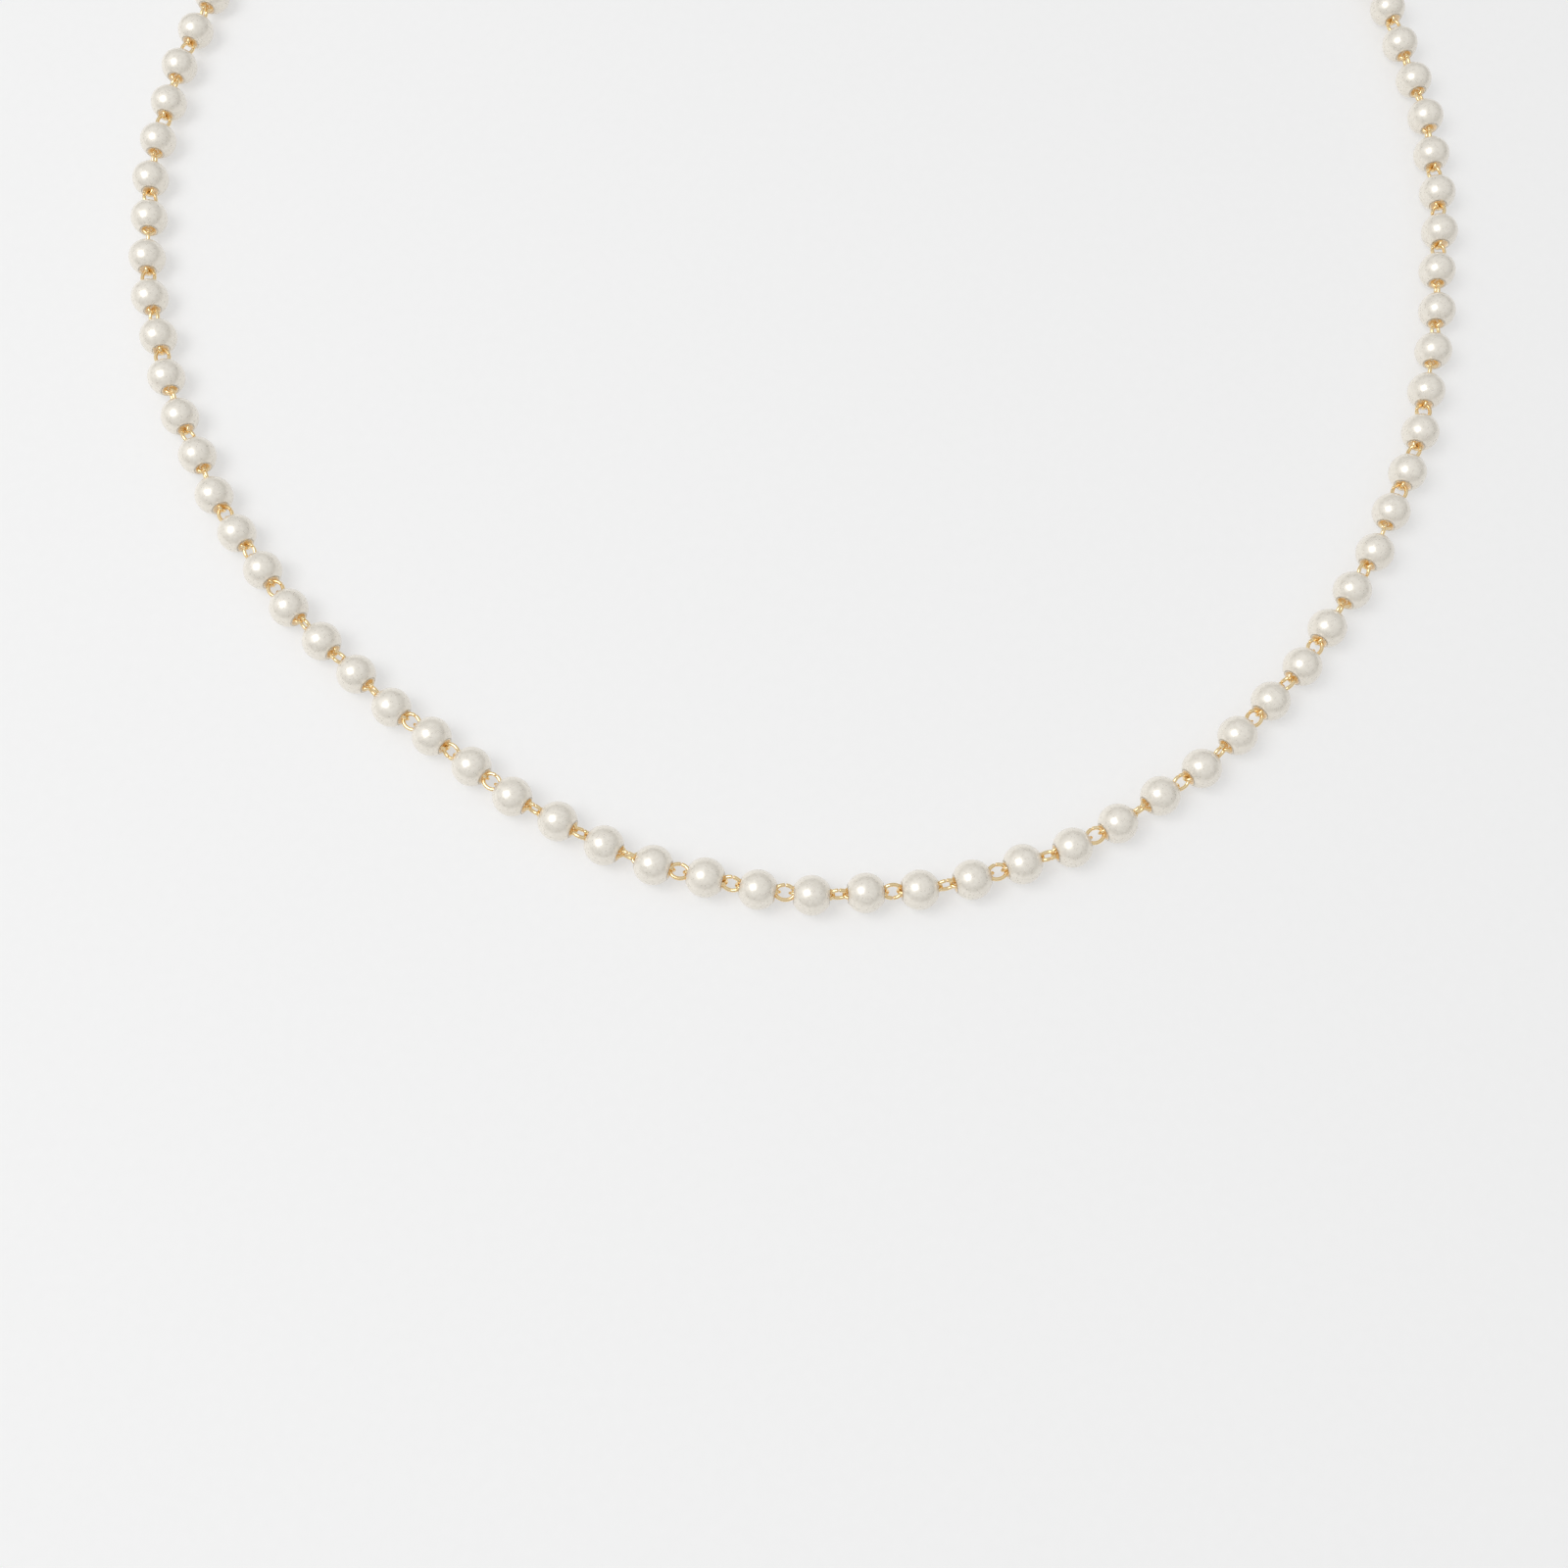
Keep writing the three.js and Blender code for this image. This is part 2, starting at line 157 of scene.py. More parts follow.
PEARL_CREAM = (0.87, 0.82, 0.73)
PEARL_WHITE = (0.95, 0.90, 0.81)
# Inside the mouths: the bead's cream, painted lighter than the ball's to lift the shade of the deep
# bowls.
MOUTH_CREAM_PAINTED_LIGHTER = (1.0, 0.92, 0.79)
# A painted glow for the mouths, in place of light coming through the bead.
MOUTH_PAINTED_GLOW = (1.0, 0.86, 0.62)
GOLD_DEEP = (0.93, 0.69, 0.36)
GOLD_PALE = (1.0, 0.81, 0.5)
STEEL_DARK = (0.50, 0.50, 0.52)
STEEL_BRIGHT = (0.68, 0.68, 0.70)
TABLE_DARK = (0.5, 0.5, 0.5)
TABLE_LIGHT = (0.51, 0.51, 0.51)
TABLE_GLOW = (1, 1, 1)
ROOM_LOW = (0.34, 0.33, 0.31)
ROOM_HIGH = (0.7, 0.705, 0.71)

PEARL_GRAIN = 3200
GOLD_CLOUD = 900
GOLD_MARKS = 5200
STEEL_MARKS = 6000
TABLE_TOOTH = 900
NOISE_SEEDS = 50  # how far apart the noises of the pieces lie
NOISE_RANGE = (0.3, 0.7)  # most of a noise's values
WHOLE = (0, 1)

# ---- Mesh building ----


def placed(name, mesh, material, location, smooth=True):
    """Puts a mesh in the scene, as an object of one material."""
    mesh.polygons.foreach_set("use_smooth", [smooth] * len(mesh.polygons))
    mesh.materials.clear()
    mesh.materials.append(material)
    piece = bpy.data.objects.new(name, mesh)
    piece.matrix_world = Matrix.Translation(location)
    bpy.context.scene.collection.objects.link(piece)
    return piece


def make_object(name, vertices, faces, material, matrix, smooth=True):
    """An object from vertices in millimetres. The matrix's turn goes into the mesh itself."""
    turn = matrix.to_3x3()
    mesh = bpy.data.meshes.new(name)
    mesh.from_pydata([turn @ Vector(v) * MM for v in vertices], [], faces)
    mesh.update()
    return placed(name, mesh, material, matrix.translation, smooth)


def bridge(low, high, steps):
    """Faces between two rings of vertices."""
    return [
        (low + k, low + (k + 1) % steps, high + (k + 1) % steps, high + k) for k in range(steps)
    ]


def lathe(profile, steps):
    """Revolves a closed profile of (x, radius) about X: a body with a bore right through it."""
    vertices = []
    for x, radius in profile:
        for k in range(steps):
            angle = 2 * math.pi * k / steps
            vertices.append((x, radius * math.cos(angle), radius * math.sin(angle)))
    faces = []
    for i in range(len(profile)):
        following = (i + 1) % len(profile)
        faces += bridge(i * steps, following * steps, steps)
    return vertices, faces


def turned(profile, steps):
    """Revolves an open profile about X and closes both its ends."""
    vertices, faces = lathe(profile, steps)
    last = len(profile) - 1
    faces = faces[: last * steps]
    faces.append(tuple(reversed(range(steps))))
    faces.append(tuple(range(last * steps, (last + 1) * steps)))
    return vertices, faces


def swept(points, radius, sides, closed=False):
    """A round wire along a line of points. An open wire ends in softened flat cuts."""
    points = [Vector(p) for p in points]
    count = len(points)
    tangents = []
    for i in range(count):
        ahead = points[(i + 1) % count] if closed or i < count - 1 else points[i]
        behind = points[i - 1] if closed or i > 0 else points[i]
        tangents.append((ahead - behind).normalized())
    normal = tangents[0].orthogonal().normalized()
    sections = []
    for point, tangent in zip(points, tangents):
        normal = (normal - tangent * normal.dot(tangent)).normalized()
        sections.append((point, tangent, normal, 1.0))
    if not closed:
        soft = radius * CUT_DEPTH
        first, last = sections[0], sections[-1]
        sections[0] = (first[0] + first[1] * soft, *first[1:])
        sections[-1] = (last[0] - last[1] * soft, *last[1:])
        sections.insert(0, (*first[:3], CUT_WIDTH))
        sections.append((*last[:3], CUT_WIDTH))
    vertices = []
    for point, tangent, normal, width in sections:
        side = tangent.cross(normal)
        for k in range(sides):
            angle = 2 * math.pi * k / sides
            around = normal * math.cos(angle) + side * math.sin(angle)
            vertices.append(point + around * radius * width)
    faces = []
    for i in range(len(sections) - 1):
        faces += bridge(i * sides, (i + 1) * sides, sides)
    if closed:
        faces += closing_faces(vertices, len(sections), sides)
    else:
        faces.append(tuple(reversed(range(sides))))
        faces.append(tuple(range((len(sections) - 1) * sides, len(sections) * sides)))
    return vertices, faces


def closing_faces(vertices, count, sides):
    """Joins a closed wire's last section to its first, allowing for the twist between them."""
    last = (count - 1) * sides
    twist = min(range(sides), key=lambda k: (vertices[last] - vertices[k]).length)
    return [
        (last + k, last + (k + 1) % sides, (k + 1 + twist) % sides, (k + twist) % sides)
        for k in range(sides)
    ]


def merged(*parts):
    """Several vertex and face lists as one."""
    vertices, faces = [], []
    for part_vertices, part_faces in parts:
        start = len(vertices)
        vertices += list(part_vertices)
        faces += [tuple(start + k for k in face) for face in part_faces]
    return vertices, faces


def moved(part, offset):
    """A vertex and face list shifted by an offset."""
    vertices, faces = part
    return [Vector(v) + Vector(offset) for v in vertices], faces


def onto_z(part):
    """Turns a part built about X so that its axis is Z."""
    vertices, faces = part
    return [Vector((-v[2], v[1], v[0])) for v in map(Vector, vertices)], faces


def oval(length, width, wire, steps=44):
    """The centre line of an oval ring along X, open by its cut at the middle of one side."""
    across = (width - wire) / 2
    along = (length - wire) / 2
    gap = RING_CUT / across / 2
    start = math.pi / 2 + gap
    sweep = 2 * math.pi - 2 * gap
    angles = [start + sweep * i / steps for i in range(steps + 1)]
    return [(along * math.cos(a), across * math.sin(a), 0) for a in angles]


def smooth_line(points, steps_each, closed=False):
    """Catmull-Rom points along a line through a few given ones."""
    points = [Vector(p) for p in points]
    count = len(points)
    spans = count if closed else count - 1
    line = []
    for i in range(spans):
        if closed:
            a, b, c, d = (points[(i + k) % count] for k in (-1, 0, 1, 2))
        else:
            a, b = points[max(i - 1, 0)], points[i]
            c, d = points[i + 1], points[min(i + 2, count - 1)]
        for k in range(steps_each):
            t = k / steps_each
            square = 2 * a - 5 * b + 4 * c - d
            cube = -a + 3 * b - 3 * c + d
            line.append(0.5 * (2 * b + (c - a) * t + square * t * t + cube * t * t * t))
    if not closed:
        line.append(points[-1])
    return line


# ---- Materials ----


def new_material(name):
    """A node material. Its glow, if it has one, is too faint to be sampled as a lamp."""
    material = bpy.data.materials.new(name)
    material.use_nodes = True
    material.cycles.emission_sampling = "NONE"
    nodes = material.node_tree.nodes
    return material, nodes, material.node_tree.links, nodes["Principled BSDF"]


def noise(nodes, links, where, scale, detail):
    """A noise of its own for every piece."""
    texture = nodes.new("ShaderNodeTexNoise")
    texture.noise_dimensions = "4D"
    seed = nodes.new("ShaderNodeMath")
    seed.operation = "MULTIPLY"
    seed.inputs[1].default_value = NOISE_SEEDS
    links.new(nodes.new("ShaderNodeObjectInfo").outputs["Random"], seed.inputs[0])
    links.new(seed.outputs["Value"], texture.inputs["W"])
    texture.inputs["Scale"].default_value = scale
    texture.inputs["Detail"].default_value = detail
    links.new(where, texture.inputs["Vector"])
    return texture.outputs["Fac"]


def ramp(nodes, links, factor, stops):
    """Colours along a factor, from two (position, colour) stops."""
    node = nodes.new("ShaderNodeValToRGB")
    for element, (position, colour) in zip(node.color_ramp.elements, stops):
        element.position = position
        element.color = (*colour, 1)
    links.new(factor, node.inputs["Fac"])
    return node.outputs["Color"]


def spread(nodes, links, value, source, target):
    """Carries a value from one range over to another."""
    node = nodes.new("ShaderNodeMapRange")
    node.inputs["From Min"].default_value, node.inputs["From Max"].default_value = source
    node.inputs["To Min"].default_value, node.inputs["To Max"].default_value = target
    links.new(value, node.inputs["Value"])
    return node.outputs["Result"]


def bump(nodes, links, height, distance, strength):
    node = nodes.new("ShaderNodeBump")
    node.inputs["Distance"].default_value = distance
    node.inputs["Strength"].default_value = strength
    links.new(height, node.inputs["Height"])
    return node.outputs["Normal"]


def own_coordinates(nodes):
    return nodes.new("ShaderNodeTexCoord").outputs["Object"]


def mouth_share(nodes, links, where):
    """1 inside a pearl's mouths and 0 on its ball, by the distance from its centre. It places the
    mouths' painted light and painted glow.
    """
    distance = nodes.new("ShaderNodeVectorMath")
    distance.operation = "LENGTH"
    links.new(where, distance.inputs[0])
    bowl_edge, ball_edge = 1.9 * MM, 1.985 * MM
    return spread(nodes, links, distance.outputs["Value"], (bowl_edge, ball_edge), (1, 0))


def pearl_material():
    """Lacquered imitation pearl: a cream lustre with a fine grain, and painted light in its mouths:
    a lighter cream and a painted glow, though the bead is no lamp.
    """
    material, nodes, links, shader = new_material("imitation_pearl")
    where = own_coordinates(nodes)
    grain = noise(nodes, links, where, PEARL_GRAIN, detail=1)
    body = ramp(nodes, links, grain, [(0.35, PEARL_CREAM), (0.65, PEARL_WHITE)])
    inside = mouth_share(nodes, links, where)
    # Painted light: the mouths get a cream lighter than the ball's, lifting the shade in the bowls
    # in place of warm light bounced round them.
    mouth_cream_painted_lighter = nodes.new("ShaderNodeMix")
    mouth_cream_painted_lighter.data_type = "RGBA"
    links.new(inside, mouth_cream_painted_lighter.inputs["Factor"])
    links.new(body, mouth_cream_painted_lighter.inputs["A"])
    mouth_cream_painted_lighter.inputs["B"].default_value = (*MOUTH_CREAM_PAINTED_LIGHTER, 1)
    links.new(mouth_cream_painted_lighter.outputs["Result"], shader.inputs["Base Color"])
    roughness = spread(nodes, links, grain, NOISE_RANGE, (0.26, 0.35))
    links.new(roughness, shader.inputs["Roughness"])
    normal = bump(nodes, links, grain, distance=0.01 * MM, strength=0.03)
    links.new(normal, shader.inputs["Normal"])
    links.new(spread(nodes, links, inside, WHOLE, (0.35, 0.05)), shader.inputs["Metallic"])
    shader.inputs["Coat Weight"].default_value = 0.55
    shader.inputs["Coat Roughness"].default_value = 0.15
    # A painted glow in the mouths, standing in for light through the translucent bead. The pearl is
    # no lamp.
    shader.inputs["Emission Color"].default_value = (*MOUTH_PAINTED_GLOW, 1)
    glow = spread(nodes, links, inside, WHOLE, (0, 0.13))
    links.new(glow, shader.inputs["Emission Strength"])
    return material


def gold_material():
    """Polished gold-tone plating, slightly uneven, with drawing marks in the wire."""
    material, nodes, links, shader = new_material("gold_tone_plating")
    where = own_coordinates(nodes)
    cloud = noise(nodes, links, where, GOLD_CLOUD, detail=2)
    colour = ramp(nodes, links, cloud, [(0.3, GOLD_DEEP), (0.7, GOLD_PALE)])
    links.new(colour, shader.inputs["Base Color"])
    marks = noise(nodes, links, where, GOLD_MARKS, detail=4)
    roughness = spread(nodes, links, marks, NOISE_RANGE, (0.1, 0.17))
    links.new(roughness, shader.inputs["Roughness"])
    normal = bump(nodes, links, marks, distance=0.008 * MM, strength=0.1)
    links.new(normal, shader.inputs["Normal"])
    shader.inputs["Metallic"].default_value = 1.0
    return material


def steel_material():
    """Bright drawn spring wire."""
    material, nodes, links, shader = new_material("spring_steel_wire")
    where = own_coordinates(nodes)
    marks = noise(nodes, links, where, STEEL_MARKS, detail=4)
    colour = ramp(nodes, links, marks, [(0.3, STEEL_DARK), (0.7, STEEL_BRIGHT)])
    links.new(colour, shader.inputs["Base Color"])
    roughness = spread(nodes, links, marks, NOISE_RANGE, (0.2, 0.38))
    links.new(roughness, shader.inputs["Roughness"])
    normal = bump(nodes, links, marks, distance=0.006 * MM, strength=0.4)
    links.new(normal, shader.inputs["Normal"])
    shader.inputs["Metallic"].default_value = 1.0
    return material


def floor_material():
    """A white table lit softly through from below, with a barely visible tooth."""
    material, nodes, links, shader = new_material("lit_table")
    where = own_coordinates(nodes)
    tooth = noise(nodes, links, where, TABLE_TOOTH, detail=3)
    colour = ramp(nodes, links, tooth, [(0.3, TABLE_DARK), (0.7, TABLE_LIGHT)])
    links.new(colour, shader.inputs["Base Color"])
    normal = bump(nodes, links, tooth, distance=0.02 * MM, strength=0.2)
    links.new(normal, shader.inputs["Normal"])
    shader.inputs["Roughness"].default_value = 0.9
    shader.inputs["Specular IOR Level"].default_value = 0.1
    shader.inputs["Emission Color"].default_value = (*TABLE_GLOW, 1)
    shader.inputs["Emission Strength"].default_value = 0.42
    return material


# ---- Shapes of the pieces, along X ----


def rounded_corner(before, corner, after, radius, steps=4):
    """Points that round a profile's corner."""
    before, corner, after = Vector(before), Vector(corner), Vector(after)
    start = corner + (before - corner).normalized() * radius
    end = corner + (after - corner).normalized() * radius
    points = []
    for k in range(steps + 1):
        t = k / steps
        points.append(start * (1 - t) ** 2 + corner * 2 * t * (1 - t) + end * t * t)
    return [(p.x, p.y) for p in points]


def ball_point(angle):
    """A point of a pearl's profile, by its angle from the pearl's -X end."""
    return (-PEARL_RADIUS * math.cos(angle), PEARL_RADIUS * math.sin(angle))


def ball_profile(rim, bands=26):
    """A pearl's round side, between the angles where its two ends begin."""
    sweep = math.pi - 2 * rim
    return [ball_point(rim + sweep * i / bands) for i in range(bands + 1)]


def both_ends(ball, end, steps=48):
    """Turns a pearl from its round side and the profile of its end at +X."""
    start = [(-x, r) for x, r in reversed(end)]
    return lathe(start + ball + end, steps)


def drilled_pearl():
    """A pearl with a mouth at both ends, a soft lip and a round bowl, and the bore between them."""
    rim = (PEARL_HALF, MOUTH_RADIUS)
    lip = rounded_corner(ball_point(MOUTH_SHOULDER), rim, MOUTH_WALL, MOUTH_LIP)
    return both_ends(ball_profile(MOUTH_RIM), lip + MOUTH_BOWL)


def plain_pearl():
    """The drop's pearl: flat at both ends, with a narrow bore."""
    rim = (PEARL_HALF, MOUTH_RADIUS)
    bore = (PEARL_HALF, DROP_BORE_RADIUS)
    lip = rounded_corner(DROP_SHOULDER, rim, bore, DROP_LIP)
    edge = rounded_corner(rim, bore, (0, DROP_BORE_RADIUS), DROP_BORE_EDGE)
    ball = ball_profile(math.asin(MOUTH_RADIUS / PEARL_RADIUS))
    return both_ends(ball[1:-1], lip + edge)


def eye_line(centre, radius, wire, from_x, steps=22):
    """A stem along X that kinks aside and bends round into an eye in the XY plane."""
    line = [(from_x, 0, 0), (centre - radius - EYE_KINK * wire, 0, 0)]
    for i in range(steps + 1):
        angle = EYE_START + (EYE_END - EYE_START) * i / steps
        line.append((centre + radius * math.cos(angle), radius * math.sin(angle), 0))
    return line


def eye_pin(start_frame, end_frame):
    """One wire through a pearl with an eye at each end, each in the plane of its own frame."""
    line = eye_line(EYE_CENTRE, EYE_RADIUS, EYE_WIRE, 0)
    start = [start_frame @ Vector(p) for p in line]
    end = [end_frame @ Vector(p) for p in line[1:]]
    return swept(list(reversed(start)) + end, EYE_WIRE / 2, sides=10)


def small_ring():
    line = oval(RING_LENGTH, RING_WIDTH, RING_WIRE)
    return swept(line, RING_WIRE / 2, sides=12)


def extender_link():
    line = oval(EXTENDER_LENGTH, EXTENDER_WIDTH, HARDWARE_WIRE, steps=60)
    middle = (EXTENDER_LENGTH - HARDWARE_WIRE) / 2
    return moved(swept(line, HARDWARE_WIRE / 2, sides=14), (middle, 0, 0))


def drop_pin(pearl_at):
    """An eye, a stem through the drop's pearl, and a low domed head."""
    radius = (DROP_EYE_WIDTH - DROP_WIRE) / 2
    head_at = pearl_at + PEARL_HALF + DROP_PLAY
    eye = eye_line(-radius, radius, DROP_WIRE, -pearl_at - PEARL_HALF)
    eye = [(-x, y, z) for x, y, z in eye]
    head = [
        (head_at + DROP_HEAD_THICKNESS * depth, DROP_HEAD_RADIUS * width)
        for depth, width in DROP_HEAD_DOME
    ]
    return merged(swept(eye, DROP_WIRE / 2, sides=12), turned(head, steps=28))


def curved(outline, steps_each, closed=False):
    """A smooth contour through the points of an outline in plan."""
    return smooth_line([(x, y, 0) for x, y in outline], steps_each, closed)


def clasp_contour():
    """The clasp's body in plan: a teardrop with its loop open at the mouth that the lever closes."""
    return curved(CLASP_OUTSIDE, steps_each=6) + curved(CLASP_INSIDE, steps_each=6)


def bevelled_plate(name, contour, thickness, edge):
    """A plate with rounded edges from a contour in plan, as a mesh centred on z = 0, in metres."""
    curve = bpy.data.curves.new(name, "CURVE")
    curve.dimensions = "2D"
    curve.fill_mode = "BOTH"
    curve.extrude = (thickness / 2 - edge) * MM
    curve.bevel_depth = edge * MM
    curve.bevel_resolution = 4
    curve.offset = -edge * MM
    spline = curve.splines.new("POLY")
    spline.points.add(len(contour) - 1)
    for point, place in zip(spline.points, contour):
        point.co = (place[0] * MM, place[1] * MM, 0, 1)
    spline.use_cyclic_u = True
    holder = bpy.data.objects.new(name, curve)
    bpy.context.scene.collection.objects.link(holder)
    graph = bpy.context.evaluated_depsgraph_get()
    mesh = bpy.data.meshes.new_from_object(holder.evaluated_get(graph))
    bpy.data.objects.remove(holder)
    return mesh


def mesh_object(name, mesh, material, matrix):
    """An object from a mesh in metres. The matrix's turn goes into the mesh itself."""
    mesh.transform(matrix.to_3x3().to_4x4())
    return placed(name, mesh, material, matrix.translation)


def smooth_by_angle(piece, degrees):
    """Keeps an edge sharp where its faces turn by more than an angle."""
    piece.data.set_sharp_from_angle(angle=math.radians(degrees))


def cut_out(piece, tool):
    """Cuts a tool object out of a piece, and removes the tool."""
    modifier = piece.modifiers.new("cut", "BOOLEAN")
    modifier.operation = "DIFFERENCE"
    modifier.solver = "EXACT"
    modifier.object = tool
    graph = bpy.context.evaluated_depsgraph_get()
    mesh = bpy.data.meshes.new_from_object(piece.evaluated_get(graph))
    piece.modifiers.clear()
    piece.data = mesh
    bpy.data.objects.remove(tool)


# ---- Places, from the CAD frame ----

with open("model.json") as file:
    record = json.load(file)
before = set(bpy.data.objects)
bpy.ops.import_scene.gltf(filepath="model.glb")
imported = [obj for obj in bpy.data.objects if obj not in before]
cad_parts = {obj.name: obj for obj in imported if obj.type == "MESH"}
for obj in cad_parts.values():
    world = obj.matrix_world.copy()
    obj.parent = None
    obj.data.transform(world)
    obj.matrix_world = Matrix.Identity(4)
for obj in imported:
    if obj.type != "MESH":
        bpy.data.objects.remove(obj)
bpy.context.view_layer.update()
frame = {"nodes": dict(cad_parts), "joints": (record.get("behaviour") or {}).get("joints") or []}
joints = {joint["name"]: joint for joint in frame["joints"]}


def joint_at(name):
    return Vector(joints[name]["pos_m"])


def joint_axis(name):
    return Vector(joints[name]["axis"])


def frame_matrix(origin, along, sideways):
    """X along, Y as near to sideways as it can be."""
    x = along.normalized()
    y = (sideways - x * sideways.dot(x)).normalized()
    z = x.cross(y)
    return Matrix.Translation(origin) @ Matrix((x, y, z)).transposed().to_4x4()


def rolled_frame(origin, along, degrees):
    """X along, Y level to its left, then turned about X."""
    level = frame_matrix(origin, along, UP.cross(along))
    return level @ Matrix.Rotation(math.radians(degrees), 4, "X")


def link_ends(ring_joint, held):
    """The pearl that a ring hangs from, and the direction to what the ring holds."""
    bar = joint_at(ring_joint)
    along = (held - bar).normalized()
    return bar - along * RING_BAR * MM, along


def middle_pearl(run, first, last):
    """A run's middle pearl: a pitch from both its ends, to the side where its CAD solid is."""
    middle = (first + last) / 2
    rise = math.sqrt(max((PEARL_PITCH * MM) ** 2 - (last - middle).length_squared, 0))
    aside = UP.cross(last - first).normalized()
    vertices = [v.co - middle for v in frame["nodes"][f"pearl_run_{run:02d}"].data.vertices]
    near = [v.dot(aside) for v in vertices if v.xy.length < PEARL_RADIUS * MM and v.z > 0]
    return middle + aside * math.copysign(rise, sum(near))


def strand_centres():
    """Every pearl's centre, in order from the clasp. The joints run outwards from the root run."""
    root = next(n for n in range(1, run_count + 1) if f"run_swing_{n:02d}" not in joints)
    firsts, lasts = {}, {}
    for number in range(1, run_count):
        child = number + 1 if number >= root else number
        held = joint_at(f"run_swing_{child:02d}")
        parent_pearl, along = link_ends(f"ring_swing_{number:02d}", held)
        pair = [parent_pearl, held + along * EYE_BAR * MM]
        if child == number:
            pair.reverse()
        lasts[number], firsts[number + 1] = pair
    firsts[1] = link_ends("clasp_ring_swing", clasp_wire)[0]
    lasts[run_count] = link_ends("extender_ring_swing", extender_wire)[0]
    found = []
    for run in range(1, run_count + 1):
        found += [firsts[run], middle_pearl(run, firsts[run], lasts[run]), lasts[run]]
    return found


run_count = sum(1 for name in frame["nodes"] if name.startswith("pearl_run_"))
clasp_wire = joint_at("clasp_swing")
extender_wire = joint_at("extender_swing_1")
centres = strand_centres()
pearl_count = len(centres)
rng = random.Random(7)

pearl_look = pearl_material()
gold_look = gold_material()
steel_look = steel_material()


def add_piece(name, shape, material, matrix, body, node):
    """A piece from a drawn shape, riding on its body and standing for a CAD node."""
    piece = make_object(name, *shape, material, matrix)
    settle(piece, body, node)
    return piece


def settle(piece, body, node):
    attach(piece, body)
    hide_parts(node)


# ---- The strand ----


def free_ring(link):
    """The number of the free ring in a link, or None where the link is inside a run."""
    number, rest = divmod(link + 1, PEARLS_PER_RUN)
    return None if rest else number


def link_frame(link):
    """The frame of the ring between pearls link and link + 1: X along, the ring in XY."""
    start, end = centres[link], centres[link + 1]
    middle = (start + end) / 2
    number = free_ring(link)
    if number:
        return frame_matrix(middle, end - start, joint_axis(f"ring_swing_{number:02d}"))
    roll = OPEN_ROLL if link % 2 else EDGE_ROLL
    return rolled_frame(middle, end - start, roll + rng.uniform(-ROLL_SPREAD, ROLL_SPREAD))


link_frames = [link_frame(link) for link in range(pearl_count - 1)]


def end_frame(pearl, wire, ring_joint):
    """The frame of the strand's end ring, X from its pearl to the hardware wire."""
    along = wire - centres[pearl]
    middle = centres[pearl] + along.normalized() * PEARL_PITCH / 2 * MM
    return frame_matrix(middle, along, joint_axis(ring_joint))


clasp_ring_frame = end_frame(0, clasp_wire, "clasp_ring_swing")
extender_ring_frame = end_frame(pearl_count - 1, extender_wire, "extender_ring_swing")


def ring_frame(pearl, side):
    """The frame of the ring at one side of a pearl."""
    if side > 0:
        return link_frames[pearl] if pearl < pearl_count - 1 else extender_ring_frame
    return link_frames[pearl - 1] if pearl > 0 else clasp_ring_frame


def outwards(pearl, side):
    """The direction out of a pearl's mouth."""
    return (ring_frame(pearl, side).translation - centres[pearl]).normalized()


def pearl_axis(pearl):
    """A pearl's bore: an end pearl of a run faces its free ring squarely, as in the CAD."""
    place = pearl % PEARLS_PER_RUN
    if place == 0:
        return -outwards(pearl, -1)
    if place == PEARLS_PER_RUN - 1:
        return outwards(pearl, 1)
    return outwards(pearl, 1) - outwards(pearl, -1)


def mouth_frame(pearl, side):
    """Of a pin's eye, square to the ring it holds, in millimetres from the pearl's centre."""
    ring_normal = ring_frame(pearl, side).to_3x3().col[2]
    return frame_matrix(Vector(), outwards(pearl, side), ring_normal)


def run_name(pearl):
    """The CAD run that a pearl, or the ring after it, belongs to."""
    return f"pearl_run_{pearl // PEARLS_PER_RUN + 1:02d}"


def build_pearls():
    for pearl, centre in enumerate(centres):
        body = run_name(pearl)
        number = f"{pearl + 1:02d}"
        matrix = rolled_frame(centre, pearl_axis(pearl), rng.uniform(0, 360))
        add_piece(f"pearl_{number}", drilled_pearl(), pearl_look, matrix, body, body)
        pin = eye_pin(mouth_frame(pearl, -1), mouth_frame(pearl, 1))
        place = Matrix.Translation(centre)
        add_piece(f"eye_pin_{number}", pin, gold_look, place, body, body)


def build_rings():
    for link, matrix in enumerate(link_frames):
        number = free_ring(link)
        body = f"link_ring_{number:02d}" if number else run_name(link)
        add_piece(f"wire_ring_{link + 1:02d}", small_ring(), gold_look, matrix, body, body)
    for end, matrix in (("clasp", clasp_ring_frame), ("extender", extender_ring_frame)):
        body = f"{end}_ring"
        add_piece(f"{end}_wire_ring", small_ring(), gold_look, matrix, body, body)


# ---- The clasp ----


def build_clasp():
    upwards = joint_axis("clasp_lever_hinge")
    along = (-joint_axis("clasp_swing")).cross(upwards)
    place = frame_matrix(clasp_wire, along, -joint_axis("clasp_swing"))
    pivot = place.inverted() @ joint_at("clasp_lever_hinge") / MM
    pivot.z = 0  # the clasp's middle plane
    build_clasp_body(place, pivot)
    build_tail_eye(place)
    build_clasp_lever(place, pivot)
    build_lever_hub(place, pivot)
    build_clasp_pin(place, pivot)
    build_clasp_spring(place, pivot)


def slot_shape(pivot):
    """The room for the lever, open on the body's outer side and into its loop."""
    half = LEVER_THICKNESS / 2 + LEVER_PLAY
    vertices = [(pivot.x + x, pivot.y + y, z) for z in (-half, half) for x, y in LEVER_SLOT]
    faces = [(3, 2, 1, 0), (4, 5, 6, 7)] + bridge(0, 4, 4)
    return vertices, faces


def pivot_cylinder(pivot, low, high, radius, steps):
    """A cutting tool about the lever's pivot."""
    return moved(onto_z(turned([(low, radius), (high, radius)], steps)), pivot)


